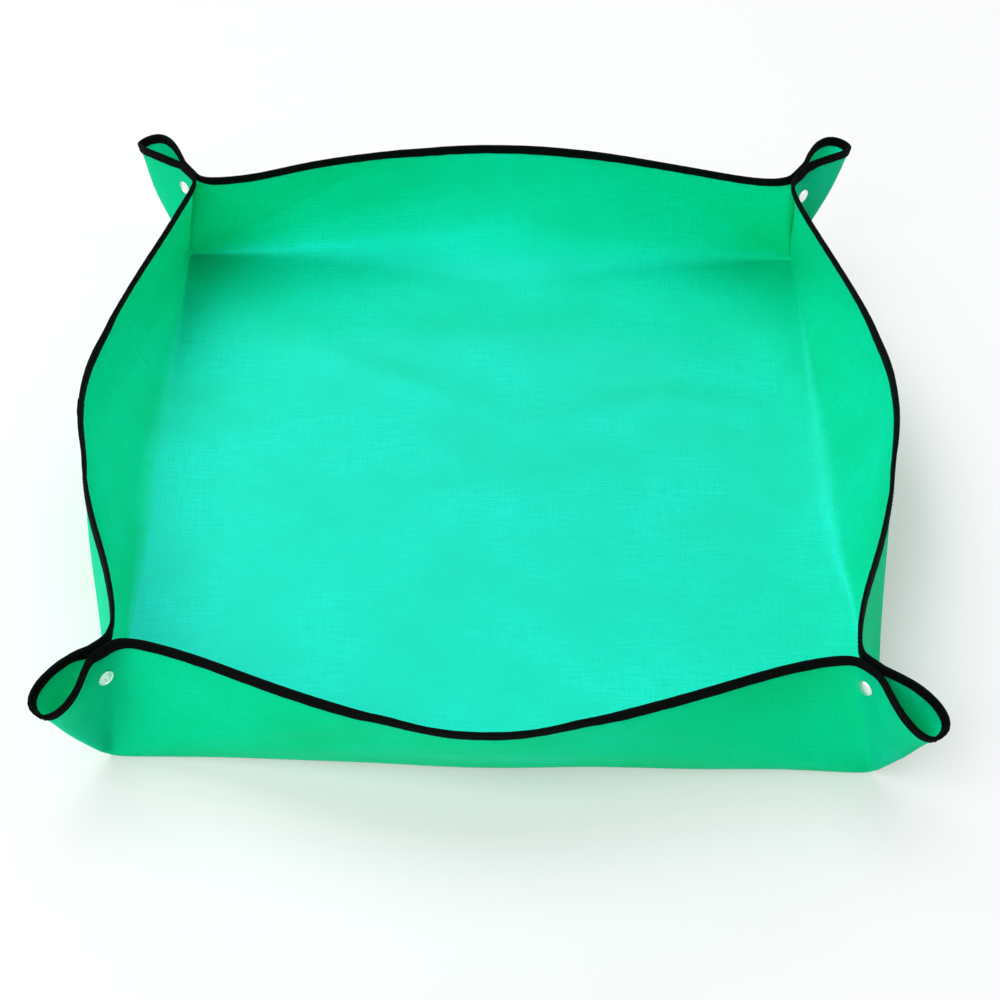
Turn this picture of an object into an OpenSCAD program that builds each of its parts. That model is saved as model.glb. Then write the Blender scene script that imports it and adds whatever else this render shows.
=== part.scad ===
// Potting soil tray: one square of coated cloth with a taped edge, snapped up at its four corners.
// Origin: middle of the base, on the surface that the tray stands on. Z is up and the front is -Y.
// Every point of the folded cloth is worked out from its place on the flat square.

/* [Cloth] */
// Side of the flat square cloth
sheet_side = 680; // [670:5:700]
// Side of the flat base, between the four points where the folds meet
base_side = 490; // [480:5:500]
// Thickness of the coated cloth
sheet_t = 0.7; // [0.5:0.1:1.0]
// Radius of the cloth's rounded corners
corner_r = 82; // [76:2:90]

/* [Walls] */
// Lean of a wall away from upright at its middle, in degrees
wall_lean = 24; // [18:1:30]
// How far a base fold bows outwards at its middle
fold_bow = 6; // [2:1:10]
// Half width of the soft base fold at its middle
fold_soft = 18; // [12:1:24]
// Half length over which the two ends of a wall run into each other at its middle
mid_blend = 70; // [40:5:90]
// Pull of the straight wall on its bend, as a share of the bend
wall_pull = 0.2; // [0.1:0.05:0.4]
// Pull of the pinched neck on the wall's bend, as a share of the bend
neck_pull = 0.2; // [0.1:0.05:0.4]

/* [Ears] */
// Lean of the pinched neck back over the base, in degrees
neck_lean = 4; // [0:1:8]
// Width over which the two layers lie side by side in the neck
neck_w = 17; // [15:0.5:20]
// Lean of an ear's tip away from upright, in degrees
ear_lean = 30; // [24:1:36]
// How straight the ear's loop leaves the neck
ear_start = 0.15; // [0.05:0.05:0.4]
// How round the ear's tip is
ear_round = 0.52; // [0.3:0.02:0.7]

/* [Edge tape] */
// Width of the folded tape on each face of the cloth
tape_w = 5.5; // [4.5:0.5:8]
// Thickness of the tape
tape_t = 0.8; // [0.6:0.1:1.1]
// Room between the tape and the cloth
tape_fit = 0.2; // [0.15:0.05:0.3]
// Length over which the tape's two ends overlap
splice_l = 16; // [10:1:24]
// Thickness that the overlapping end adds on each face
splice_t = 0.6; // [0.4:0.1:1.0]

/* [Snaps] */
// Distance of a snap's middle from the cloth's edge
snap_inset = 22; // [20:0.5:24]
// Diameter of the cap
cap_d = 11.6; // [10.5:0.1:12.4]
// Height of the cap's dome above the cloth
cap_h = 1.9; // [1.5:0.1:2.4]
// Diameter of the eyelet's face
eyelet_d = 11.2; // [10:0.1:12.4]
// Height of the eyelet's rim above the cloth
eyelet_h = 1.0; // [0.8:0.1:1.4]
// Diameter of the socket and of the stud's flange
socket_d = 10; // [9.6:0.1:10.6]
// Height of the socket
socket_h = 2.6; // [2.5:0.1:3.0]
// Thickness of the stud's flange
flange_t = 0.6; // [0.4:0.1:0.8]
// Diameter of the stud's head
stud_d = 5.2; // [5.0:0.1:5.4]
// Diameter of the post that goes through the cloth
post_d = 3.5; // [3.2:0.1:3.6]
// Wall of the hollow post
post_wall = 0.55; // [0.4:0.05:0.7]
// Wire diameter of the split spring ring
wire_d = 0.5; // [0.4:0.05:0.5]

/* [Hidden] */
$fn = 48;

cloth_color = [0.05, 0.78, 0.55];
tape_color = [0.04, 0.05, 0.04];
snap_color = [0.86, 0.88, 0.88];
spring_color = [0.6, 0.62, 0.64];

// Clearances inside a closed snap: stud in socket, post in its hole, spring ring in its groove
snap_play = 0.2;
post_fit = 0.08;
ring_play = 0.1;
wire_fit = 0.04;
// Thickness of the socket's plate, of the cap post's rolled end and of the eyelet post's rolled end
plate_t = 0.5;
roll_t = 0.4;
cuff_t = 0.3;
// Width of a rolled end beside its post
roll_w = 0.45;
// Broken edge of the turned pieces, and width of the ring that a cap or an eyelet stands on
edge_c = 0.3;
foot_w = 0.9;
// Height of the cap's upright rim, and of the hollow under the cap
rim_h = 0.8;
hollow_h = 0.35;
// Drop from the eyelet's rim to its floor, thickness of that floor, and the bead round its middle
floor_drop = 0.45;
floor_t = 0.25;
bead_w = 1.2;
bead_h = 0.2;
// Height of the stud's head, and how far its waist is drawn in
head_h = 0.45;
waist_in = 0.3;
// Opening of the split spring ring, in degrees
ring_gap = 35;
// The cloth's two layers are this far apart where they meet at the base corner
crease_gap = 0.2;
// They run parallel from this far below the cap up to the edge
flat_margin = 8;

// Sizes of the flat cloth, measured from the tray's middle
base_half = base_side / 2;
sheet_half = sheet_side / 2;
wall_w = sheet_half - base_half;
arc_mid = sheet_half - corner_r;

// Closed snap: the socket and the stud's flange fill the room between the layers
stack_h = socket_h + flange_t + snap_play;
neck_half = (stack_h + sheet_t) / 2;
crease_half = (crease_gap + sheet_t) / 2;
snap_up = wall_w - snap_inset;
flat_from = snap_up - cap_d / 2 - flat_margin;

// Angles at the base corner: of the bowed fold, of its soft half, and of the wall's top middle
fold_a = atan(fold_bow / base_half);
soft_a = atan(fold_soft / base_half);
mid_a = atan(wall_w / base_half);
neck_a = asin(neck_w / 2 / wall_w);
ridge_a = 135;
// The neck's room between the layers is let in over these angles on the wall and on the ear
room_in = [40, 75];
room_out = [112, 133];
// and over this distance from the base corner
room_r = [8, flat_from];

up = [0, 0, 1];
across = [-sqrt(0.5), sqrt(0.5), 0];
outward = [sqrt(0.5), sqrt(0.5), 0];

function unit(v) = v / norm(v);
function mix(a, b, t) = a + (b - a) * t;
function clamp01(t) = min(1, max(0, t));
function ease(t) = let (c = clamp01(t)) c * c * (3 - 2 * c);
function ease_between(v, ends) = ease((v - ends[0]) / (ends[1] - ends[0]));
function swap_xy(p) = [p[1], p[0], p[2]];
function quarter(p, k) = k == 0 ? p : quarter([p[1], -p[0], p[2]], k - 1);

// Direction of the straight line through the base corner that leaves the fold at angle a,
// for the flat base, the soft fold and the flat middle of the wall
fold_dir = [-cos(fold_a), sin(fold_a), 0];
fold_out = [sin(fold_a), cos(fold_a), 0];
wall_up = sin(wall_lean) * fold_out + cos(wall_lean) * up;
function flat_share(d, s) = d >= s ? 0 : d <= -s ? d : -pow(s - d, 2) / (4 * s);
function wall_share(d, s) = d <= -s ? 0 : d >= s ? d : pow(s + d, 2) / (4 * s);
function fold_ray(a) =
    let (d = sin(a - fold_a), s = sin(soft_a))
    unit(cos(a - fold_a) * fold_dir + flat_share(d, s) * fold_out + wall_share(d, s) * wall_up);

// Directions in the upright plane through the corner's diagonal
function neck_ray(a) = sin(a) * outward + cos(a) * up;
function neck_run(a) = cos(a) * outward - sin(a) * up;

// The bend from the wall's middle to the neck and from the neck round the ear
function bend(p, p_dir, q, q_dir, p_pull, q_pull, steps) =
    let (c = norm(q - p), a = p + p_dir * c * p_pull, b = q - q_dir * c * q_pull)
    [for (i = [0:steps]) let (t = i / steps, s = 1 - t)
        unit(s * s * s * p + 3 * s * s * t * a + 3 * s * t * t * b + t * t * t * q)];

bend_steps = 24;
neck_steps = 4;
mid_ray = fold_ray(mid_a);
mid_run = cos(mid_a - fold_a) * wall_up - sin(mid_a - fold_a) * fold_dir;
neck_from = -neck_lean - neck_a;
neck_to = -neck_lean + neck_a;
wall_bend = bend(
    mid_ray, mid_run, neck_ray(neck_from), neck_run(neck_from), wall_pull, neck_pull, bend_steps);
neck_part = [for (i = [1:neck_steps]) neck_ray(mix(neck_from, neck_to, i / neck_steps))];
ear_bend = bend(
    neck_ray(neck_to), neck_run(neck_to), neck_ray(ear_lean), -across, ear_start, ear_round, bend_steps);
rays = concat(wall_bend, neck_part, [for (i = [1:bend_steps]) ear_bend[i]]);

// Angle on the flat cloth of each direction, from the length of the bend up to it
steps_a = [for (i = [1:len(rays) - 1]) 2 * asin(norm(rays[i] - rays[i - 1]) / 2)];
sums_a = [for (i = 0, s = 0; i < len(rays); s = s + (i < len(steps_a) ? steps_a[i] : 0), i = i + 1) s];
rays_a = [for (s = sums_a) mid_a + s * (ridge_a - mid_a) / sums_a[len(rays) - 1]];
ray_x = [for (i = [0:len(rays) - 1]) [rays_a[i], rays[i][0]]];
ray_y = [for (i = [0:len(rays) - 1]) [rays_a[i], rays[i][1]]];
ray_z = [for (i = [0:len(rays) - 1]) [rays_a[i], rays[i][2]]];
function ray(a) = a <= mid_a ? fold_ray(a) : unit([lookup(a, ray_x), lookup(a, ray_y), lookup(a, ray_z)]);
neck_from_a = rays_a[bend_steps];
neck_to_a = rays_a[bend_steps + neck_steps];

// Half the distance between the two layers, beside the corner's upright plane
function room(r, a) =
    mix(crease_half, neck_half, ease_between(r, room_r))
    * ease_between(a, room_in) * (1 - ease_between(a, room_out));

// Middle of the cloth's thickness at flat place [x, y], on the back wall's side of the diagonal
function from_corner(x, y) =
    let (u = base_half - x, w = y - base_half, r = norm([u, w]), a = atan2(w, u))
    [base_half, base_half, sheet_t / 2] + r * ray(a) + room(r, a) * across;
function half_wall(x, y) =
    x >= mid_blend ? from_corner(x, y) :
    let (p = from_corner(x, y), q = from_corner(-x, y),
        t = 0.5 + 0.5 * ease(abs(x) / mid_blend) * sign(x))
    mix([-q[0], q[1], q[2]], p, t);
function cloth(x, y) = y >= x ? half_wall(x, y) : swap_xy(half_wall(y, x));
// Direction square to the cloth, towards the inside of the tray
probe = 0.5;
function inside(x, y) =
    unit(cross(cloth(x + probe, y) - cloth(x - probe, y), cloth(x, y + probe) - cloth(x, y - probe)));

// Flat place where the line at angle a meets the cloth's edge
function edge_at(a) =
    let (d = [-cos(a), sin(a)], r = wall_w / sin(a), x = base_half + r * d[0],
        o = [base_half - arc_mid, base_half - arc_mid], h = d * o,
        s = sqrt(h * h - o * o + corner_r * corner_r) - h)
    x <= arc_mid ? [x, sheet_half] : [base_half + s * d[0], base_half + s * d[1]];
// Flat direction from the edge into the cloth
function into(p) = p[0] <= arc_mid ? [0, -1] : unit([arc_mid, arc_mid] - p);

// Columns of the half wall: along its edge to the neck, across the neck and round the ear.
// The first is as long as half the tape's splice with its pressed end. The others of the wall
// crowd towards its middle and towards the neck by these powers.
wall_cols = 8;
neck_cols = 2;
ear_cols = 7;
crowding = [1.2, 1.7];
cols = wall_cols + neck_cols + ear_cols;
pressed_l = 3;
splice_x = splice_l / 2 + pressed_l;
neck_x = edge_at(neck_from_a)[0];
function wall_x(i) =
    let (t = pow((i - 1) / (wall_cols - 1), crowding[0]))
    mix(splice_x, neck_x, 1 - pow(1 - t, crowding[1]));
edge_places = concat(
    [[0, sheet_half]],
    [for (i = [1:wall_cols]) [wall_x(i), sheet_half]],
    [for (i = [1:neck_cols]) edge_at(mix(neck_from_a, neck_to_a, i / neck_cols))],
    [for (i = [1:ear_cols]) edge_at(mix(neck_to_a, ridge_a, i / ear_cols))]
);
// Places at the tape's inner edge; those of the neck lie on its two boundary lines
corner_place = [base_half, base_half];
tape_places = [for (i = [0:cols]) let (p = edge_places[i])
    i < wall_cols || i > wall_cols + neck_cols ? p + tape_w * into(p)
    : mix(p, corner_place, tape_w / wall_w)];

// One column of the cloth at its edge: edge point, tape edge point and their inward directions
function level(p) = let (m = (p[0] + p[1]) / 2) [m, m, p[2]];
function on_ridge(p, i) = i == cols ? level(p) : p;
half_edge = [for (i = [0:cols]) let (p = edge_places[i], q = tape_places[i])
    [on_ridge(cloth(p[0], p[1]), i), on_ridge(cloth(q[0], q[1]), i),
     on_ridge(inside(p[0], p[1]), i), on_ridge(inside(q[0], q[1]), i)]];
function swap_all(c) = [for (v = c) swap_xy(v)];
function quarter_all(c, k) = [for (v = c) quarter(v, k)];
// The whole edge, clockwise from the middle of the back wall
corner_edge = concat(half_edge, [for (i = [cols - 1:-1:1]) swap_all(half_edge[i])]);
whole_edge = [for (k = [0:3]) for (c = corner_edge) quarter_all(c, k)];
edge_n = len(whole_edge);

// Rays of one corner's fan: the soft fold's ends on the wall's middle line, then the tape's edge
fold_ends = [for (f = [-1, 0, 1]) [0, base_half + fold_bow + f * fold_soft]];
half_fan = concat(fold_ends, tape_places);
folds = len(fold_ends);
half_n = len(half_fan);
fan_n = 2 * half_n - 1;
// The two inner rows: shares of a ray on the flat of the wall, distances from the corner beyond it
row_share = [0.45, 0.8];
row_r = [12, flat_from];
row_turn = [mid_a, 60];
function fan_rows(p) =
    let (l = norm(p - corner_place), a = atan2(p[1] - base_half, base_half - p[0]),
        g = ease_between(a, row_turn))
    [for (i = [0, 1, 2]) i == 2 ? 1 : mix(row_share[i], row_r[i] / l, g)];
// Middle and inward direction of the cloth at row r of ray j, with the far half mirrored
function fan_point(j, r) =
    j >= half_n ? [for (v = fan_point(fan_n - 1 - j, r)) swap_xy(v)] :
    let (p = half_fan[j], f = mix(corner_place, p, fan_rows(p)[r]),
        c = cloth(f[0], f[1]), n = inside(f[0], f[1]))
    j == half_n - 1 ? [level(c), unit(level(n))] : [c, n];

// A corner's points: its tip, then the rows of each ray. The rays that end on the right-hand
// middle line have one row less, because that end belongs to the next corner.
function own_rows(j) = j > fan_n - 1 - folds - 1 ? 2 : 3;
row_start = [for (j = 0, s = 1; j <= fan_n; s = s + (j < fan_n ? own_rows(j) : 0), j = j + 1) s];
corner_n = row_start[fan_n];
tip_in = [base_half - sheet_t / 2, base_half - sheet_t / 2, sheet_t];
tip_out = [base_half, base_half, 0];
corner_pairs = [for (j = [0:fan_n - 1]) for (r = [0:own_rows(j) - 1]) fan_point(j, r)];
function corner_face(side) = concat([side > 0 ? tip_in : tip_out],
    [for (c = corner_pairs) c[0] + side * sheet_t / 2 * c[1]]);
function cloth_face(side) = let (c = corner_face(side)) [for (k = [0:3]) for (p = c) quarter(p, k)];
function edge_line(side) = [for (c = whole_edge) c[0] + side * sheet_t / 2 * c[2]];
face_n = 4 * corner_n + edge_n + 1;
function face_points(side) =
    concat(cloth_face(side), edge_line(side), [[0, 0, side > 0 ? sheet_t : 0]]);

// Number of a point: of corner k's tip, of row r on ray j of corner k, and of the edge
function tip_no(k) = k * corner_n;
function fan_no(k, j, r) =
    r < own_rows(j) ? k * corner_n + row_start[j] + r : fan_no((k + 1) % 4, fan_n - 1 - j, r);
function edge_no(i) = 4 * corner_n + (i + edge_n) % edge_n;
mid_no = face_n - 1;
function quad(a, b, c, d) = [[a, b, c], [a, c, d]];

// Triangles of one face, clockwise as seen from inside the tray
fan_tris = [for (k = [0:3]) for (j = [0:fan_n - 2]) each concat(
    [[tip_no(k), fan_no(k, j, 0), fan_no(k, j + 1, 0)]],
    quad(fan_no(k, j, 0), fan_no(k, j, 1), fan_no(k, j + 1, 1), fan_no(k, j + 1, 0)),
    quad(fan_no(k, j, 1), fan_no(k, j, 2), fan_no(k, j + 1, 2), fan_no(k, j + 1, 1)))];
base_tris = [for (k = [0:3]) let (j = fan_n - 1) each [
    [mid_no, fan_no(k, 0, 2), fan_no(k, 0, 1)],
    [mid_no, fan_no(k, 0, 1), fan_no(k, 0, 0)],
    [mid_no, fan_no(k, 0, 0), tip_no(k)],
    [mid_no, tip_no(k), fan_no(k, j, 0)],
    [mid_no, fan_no(k, j, 0), fan_no(k, j, 1)],
    [mid_no, fan_no(k, j, 1), fan_no(k, j, 2)]]];
hem_tris = [for (k = [0:3]) for (i = [0:2 * cols - 1]) let (e = 2 * cols * k + i)
    each quad(fan_no(k, folds + i, 2), edge_no(e), edge_no(e + 1), fan_no(k, folds + i + 1, 2))];
in_tris = concat(fan_tris, base_tris, hem_tris);
out_tris = [for (t = in_tris) [t[0] + face_n, t[2] + face_n, t[1] + face_n]];
rim_tris = [for (i = [0:edge_n - 1])
    each quad(edge_no(i + 1), edge_no(i), edge_no(i) + face_n, edge_no(i + 1) + face_n)];

// Snap frame at corner k: Z leaves the corner's upright plane through the layer on the given side,
// with 0 in that plane. Side 1 is the wall that comes first clockwise, side -1 the next one.
neck_mid = neck_ray(-neck_lean);
module at_snap(k, side) {
    rotate([0, 0, -90 * k])
    translate([base_half, base_half, sheet_t / 2] + snap_up * neck_mid)
    rotate([0, 0, side > 0 ? 135 : -45])
    rotate([0, 90, 0])
    children();
}
face_out = neck_half + sheet_t / 2;
face_in = neck_half - sheet_t / 2;

module cloth_sheet() {
    color(cloth_color)
    difference() {
        polyhedron(concat(face_points(1), face_points(-1)), concat(in_tris, out_tris, rim_tris));
        for (k = [0:3])
            at_snap(k, 1)
            cylinder(d = post_d + 2 * post_fit, h = 2 * face_out + 2, center = true);
    }
}

// The tape's stations: one at each column of the edge, and three more where its ends overlap.
// Each is its place along the edge, counted in columns, and the share of the splice's thickness.
splice_at = 6 * cols;
splice_end = splice_l / 2 / splice_x;
cut_end = 0.4 / splice_x;
stations = [for (i = [0:edge_n - 1]) each i != splice_at ? [[i, 0]] : [
    [i - splice_end - cut_end, 0],
    [i - splice_end, 1],
    [i, 1],
    [i + splice_end, 1]]];
function edge_col(s) =
    let (i = floor(s), t = s - i, a = whole_edge[i % edge_n], b = whole_edge[(i + 1) % edge_n])
    [for (v = [0:3]) mix(a[v], b[v], t)];
tape_in = sheet_t / 2 + tape_fit;
function tape_section(s) =
    let (c = edge_col(s[0]), p = c[0], q = c[1], np = c[2], nq = c[3], o = unit(p - q),
        t = tape_in + tape_t + s[1] * splice_t,
        p_in = p + tape_fit * o, p_out = p + (tape_fit + tape_t + s[1] * splice_t) * o)
    [q + t * nq, p_out + t * np, p_out - t * np, q - t * nq,
     q - tape_in * nq, p_in - tape_in * np, p_in + tape_in * np, q + tape_in * nq];
section_n = 8;
// The tape's inner face turns its triangles the same way as the cloth under it
inner_side = 6;

module edge_binding() {
    n = len(stations);
    color(tape_color)
    polyhedron(
        [for (s = stations) each tape_section(s)],
        [for (i = [0:n - 1]) for (j = [0:section_n - 1])
            let (a = i * section_n, b = ((i + 1) % n) * section_n, m = (j + 1) % section_n)
            each j == inner_side ? quad(a + m, b + m, b + j, a + j)
                : quad(a + j, a + m, b + m, b + j)]);
}

// Snap halves, drawn with Z along the post and 0 at the face of the cloth that they sit on
post_r = post_d / 2;
bore_r = post_r - post_wall;
hole_r = post_r + post_fit;
roll_r = post_r + roll_w;
wire_r = wire_d / 2;
stud_r = stud_d / 2;
waist_r = stud_r - waist_in;
// The stud reaches as deep as the cap post's rolled end allows
head_at = flange_t + socket_h - plate_t - roll_t - cuff_t;
waist_to = head_at - head_h;
ring_r = waist_r + ring_play + wire_r;
ring_at = -socket_h - snap_play - flange_t + waist_to + ring_play - wire_r;

// Dome with a rolled rim, and a hollow post that is rolled over inside the socket
module cap() {
    r = cap_d / 2;
    post_l = sheet_t + plate_t;
    dome_r = r - edge_c;
    dome_steps = 8;
    dome = [for (i = [0:dome_steps]) let (a = 90 * i / dome_steps)
        [dome_r * cos(a), rim_h + (cap_h - rim_h) * sin(a)]];
    color(snap_color)
    rotate_extrude()
    polygon(concat(
        [[r - foot_w, 0], [r - edge_c, 0], [r, edge_c], [r, rim_h - edge_c]],
        dome,
        [[0, rim_h], [bore_r, rim_h], [bore_r, -post_l - roll_t], [roll_r, -post_l - roll_t],
         [roll_r, -post_l], [post_r, -post_l], [post_r, hollow_h], [r - foot_w - edge_c, hollow_h]]));
}

// Face with a raised rim, a bead round its middle, and a hollow post rolled over the stud
module eyelet() {
    r = eyelet_d / 2;
    post_l = sheet_t + head_at;
    floor_h = eyelet_h - floor_drop;
    dent_h = floor_h - bead_h;
    color(snap_color)
    rotate_extrude()
    polygon([
        [r - foot_w, 0], [r - edge_c, 0], [r, edge_c], [r, eyelet_h - edge_c],
        [r - edge_c, eyelet_h], [r - foot_w, eyelet_h], [r - foot_w - edge_c, floor_h],
        [bore_r + bead_w, floor_h], [bore_r + bead_w - bead_h, floor_h + bead_h],
        [bore_r + 2 * bead_h, floor_h + bead_h], [bore_r - bead_h, dent_h], [0, dent_h],
        [0, dent_h - floor_t], [bore_r, dent_h - floor_t], [bore_r, -post_l - cuff_t],
        [roll_r, -post_l - cuff_t], [roll_r, -post_l], [post_r, -post_l],
        [post_r, floor_h - floor_t], [r - foot_w - edge_c, floor_h - floor_t]]);
}

// Cup with a lipped mouth and a groove for the spring ring
module socket() {
    r = socket_d / 2;
    mouth_r = stud_r + snap_play;
    groove_r = ring_r + wire_r + ring_play;
    low = ring_at - wire_r - wire_fit;
    high = ring_at + wire_r + wire_fit;
    color(snap_color)
    rotate_extrude()
    polygon([
        [hole_r, 0], [r - edge_c, 0], [r, -edge_c], [r, edge_c - socket_h], [r - edge_c, -socket_h],
        [mouth_r + edge_c / 2, -socket_h], [mouth_r, edge_c / 2 - socket_h], [mouth_r, low],
        [groove_r, low], [groove_r, high], [mouth_r, high], [mouth_r, -plate_t], [hole_r, -plate_t]]);
}

// Split ring of wire that grips the waist of the stud
module spring() {
    color(spring_color)
    translate([0, 0, ring_at])
    rotate_extrude(angle = 360 - ring_gap)
    translate([ring_r, 0])
    circle(r = wire_r, $fn = 24);
}

// Flange with a waisted head that snaps into the socket
module stud() {
    r = socket_d / 2;
    color(snap_color)
    rotate_extrude()
    polygon([
        [hole_r, 0], [r - edge_c, 0], [r, -edge_c], [r, -flange_t], [waist_r + edge_c, -flange_t],
        [waist_r, -flange_t - edge_c / 2], [waist_r, -waist_to], [stud_r, head_h / 2 - head_at],
        [stud_r, edge_c / 2 - head_at], [stud_r - edge_c / 2, -head_at], [hole_r, -head_at]]);
}

module cap_at(k) { at_snap(k, -1) translate([0, 0, face_out]) cap(); }
module socket_at(k) { at_snap(k, -1) translate([0, 0, face_in]) socket(); }
module spring_at(k) { at_snap(k, -1) translate([0, 0, face_in]) spring(); }
module stud_at(k) { at_snap(k, 1) translate([0, 0, face_in]) stud(); }
module eyelet_at(k) { at_snap(k, 1) translate([0, 0, face_out]) eyelet(); }

cloth_sheet();
edge_binding();
cap_at(0);  // cap_back_right
cap_at(1);  // cap_front_right
cap_at(2);  // cap_front_left
cap_at(3);  // cap_back_left
socket_at(0);  // socket_back_right
socket_at(1);  // socket_front_right
socket_at(2);  // socket_front_left
socket_at(3);  // socket_back_left
spring_at(0);  // spring_back_right
spring_at(1);  // spring_front_right
spring_at(2);  // spring_front_left
spring_at(3);  // spring_back_left
stud_at(0);  // stud_back_right
stud_at(1);  // stud_front_right
stud_at(2);  // stud_front_left
stud_at(3);  // stud_back_left
eyelet_at(0);  // eyelet_back_right
eyelet_at(1);  // eyelet_front_right
eyelet_at(2);  // eyelet_front_left
eyelet_at(3);  // eyelet_back_left
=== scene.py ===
import math

import bpy
import numpy as np
from mathutils import Matrix


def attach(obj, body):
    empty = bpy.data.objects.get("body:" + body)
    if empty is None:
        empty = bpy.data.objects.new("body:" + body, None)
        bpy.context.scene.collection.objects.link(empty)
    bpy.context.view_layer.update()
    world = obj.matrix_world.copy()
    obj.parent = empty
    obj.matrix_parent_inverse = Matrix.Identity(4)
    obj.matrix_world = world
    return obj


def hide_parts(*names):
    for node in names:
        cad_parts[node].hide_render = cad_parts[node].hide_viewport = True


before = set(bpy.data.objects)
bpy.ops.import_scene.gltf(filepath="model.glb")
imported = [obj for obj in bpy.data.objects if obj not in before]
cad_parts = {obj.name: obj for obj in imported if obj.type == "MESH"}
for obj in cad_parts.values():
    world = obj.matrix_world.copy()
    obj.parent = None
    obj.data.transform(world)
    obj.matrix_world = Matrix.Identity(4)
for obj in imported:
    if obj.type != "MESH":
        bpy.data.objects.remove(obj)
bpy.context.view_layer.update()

print("frame loaded:", len(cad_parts), "nodes")

# lengths of the folded cloth are in millimetres, as in the part's source; mm turns them into metres
mm = 0.001
up = np.array([0.0, 0.0, 1.0])
outward = np.array([1.0, 1.0, 0.0]) / math.sqrt(2)  # from the middle to the back right corner
across = np.array([-1.0, 1.0, 0.0]) / math.sqrt(2)  # from one layer of that corner to the other


def unit(v):
    return v / np.linalg.norm(v, axis=-1, keepdims=True)


def ease(t):
    t = np.clip(t, 0, 1)
    return t * t * (3 - 2 * t)


def quarterTurns(points, turns):
    for _ in range(turns):
        points = np.stack([points[..., 1], -points[..., 0], points[..., 2]], -1)
    return points


sheet = {
    "side": 680.0,            # flat
    "base": 490.0,            # between the folds
    "thick": 0.7,
    "cornerRadius": 82.0,
    "wallLean": 24.0,         # degrees outward
    "wallBow": 6.0,           # the base fold swells this much at mid side
    "foldSoft": {"back": 42.0, "right": 12.0, "front": 4.0, "left": 12.0},  # half width at mid side
    "foldSoftLeast": 0.5,
    "midBlend": 70.0,         # the two halves of a wall meet over this much
    "wallEven": 12.0,         # degrees over which the wall's bend is evened out
    "evenFade": 12.0,         # degrees from the ray to mid side over which that dies away
    "neckLean": 4.0,          # degrees
    "snapStack": 3.4,         # between the layers under a snap
    "crease": 0.2,            # between the layers at the crease
    "snapUp": 73.0,           # from the base corner to the snap
    "snapFlat": 59.2,         # from the base corner, where the layers run parallel
    "pinchFrom": 79.8,        # beyond the snap the layers close up to pinchHalf
    "pinchTo": 89.5,
    "pinchHalf": 1.65,
    "apexSoft": 3.5,          # how far the cloth rounds over the base corner
    "apexReach": 17.0,
    "apexDrop": 0.8,          # how much lower the rounded corner lies
    "roomFrom": 8.0,          # from the base corner, where the two layers begin to part
    "roomRise": (40.0, 35.0),   # degrees round the base corner: where the room opens, and over how much
    "roomFall": (112.0, 21.0),  # and where it closes again
    "bendSteps": 200,         # rays in each of the two bends
    "neckSteps": 20,          # rays across the flat neck between them
    "stillFrom": 7.0,         # flat distance from a snap within which no pull moves the cloth
    "stillFade": 20.0,
}

# how each corner was pinched: widths in millimetres, lean of the ear in degrees, the rest are pulls;
# all of these are rounded results of a least-squares fit of the cloth's rim to the photo
corners = {
    "backRight": {"neckWidth": 14.0, "earLean": 29.7, "earStart": 0.03, "earRound": 0.45,
                  "wallPull": 0.24, "neckPull": 0.20},
    "frontRight": {"neckWidth": 13.2, "earLean": 31.5, "earStart": 0.20, "earRound": 0.42,
                   "wallPull": 0.10, "neckPull": 0.18},
    "frontLeft": {"neckWidth": 13.0, "earLean": 31.9, "earStart": 0.08, "earRound": 0.41,
                  "wallPull": 0.12, "neckPull": 0.26},
    "backLeft": {"neckWidth": 16.1, "earLean": 32.6, "earStart": 0.02, "earRound": 0.38,
                 "wallPull": 0.07, "neckPull": 0.13},
}
# which side a corner's own +Y wall and +X wall are, in the order of the quarter turns
cornerSides = {"backRight": ("back", "right"), "frontRight": ("right", "front"),
               "frontLeft": ("front", "left"), "backLeft": ("left", "back")}

halfBase = sheet["base"] / 2
halfSide = sheet["side"] / 2
wallWidth = halfSide - halfBase
arcMiddle = halfSide - sheet["cornerRadius"]
neckHalf = (sheet["snapStack"] + sheet["thick"]) / 2
creaseHalf = (sheet["crease"] + sheet["thick"]) / 2

foldAngle = math.atan(sheet["wallBow"] / halfBase)
middleAngle = math.atan(wallWidth / halfBase)
wallLean = math.radians(sheet["wallLean"])
foldDir = np.array([-math.cos(foldAngle), math.sin(foldAngle), 0])
foldOut = np.array([math.sin(foldAngle), math.cos(foldAngle), 0])
wallUp = math.sin(wallLean) * foldOut + math.cos(wallLean) * up


def foldRay(angle, foldSoft=0.0):
    turn = np.sin(angle - foldAngle)
    soft = math.sin(math.atan(max(foldSoft, sheet["foldSoftLeast"]) / halfBase))
    flatShare = np.where(turn >= soft, 0, np.where(turn <= -soft, turn, -(soft - turn) ** 2 / (4 * soft)))
    wallShare = np.where(turn <= -soft, 0, np.where(turn >= soft, turn, (soft + turn) ** 2 / (4 * soft)))
    return unit(np.cos(angle - foldAngle)[..., None] * foldDir
                + flatShare[..., None] * foldOut + wallShare[..., None] * wallUp)


def neckRay(angle):
    return np.sin(angle)[..., None] * outward + np.cos(angle)[..., None] * up


def neckRun(angle):
    return math.cos(angle) * outward - math.sin(angle) * up


def bendRays(start, startRun, end, endRun, startPull, endPull, steps):
    chord = np.linalg.norm(end - start)
    first = start + startRun * chord * startPull
    last = end - endRun * chord * endPull
    t = np.linspace(0, 1, steps + 1)[:, None]
    s = 1 - t
    return unit(s ** 3 * start + 3 * s * s * t * first + 3 * s * t * t * last + t ** 3 * end)


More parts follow.
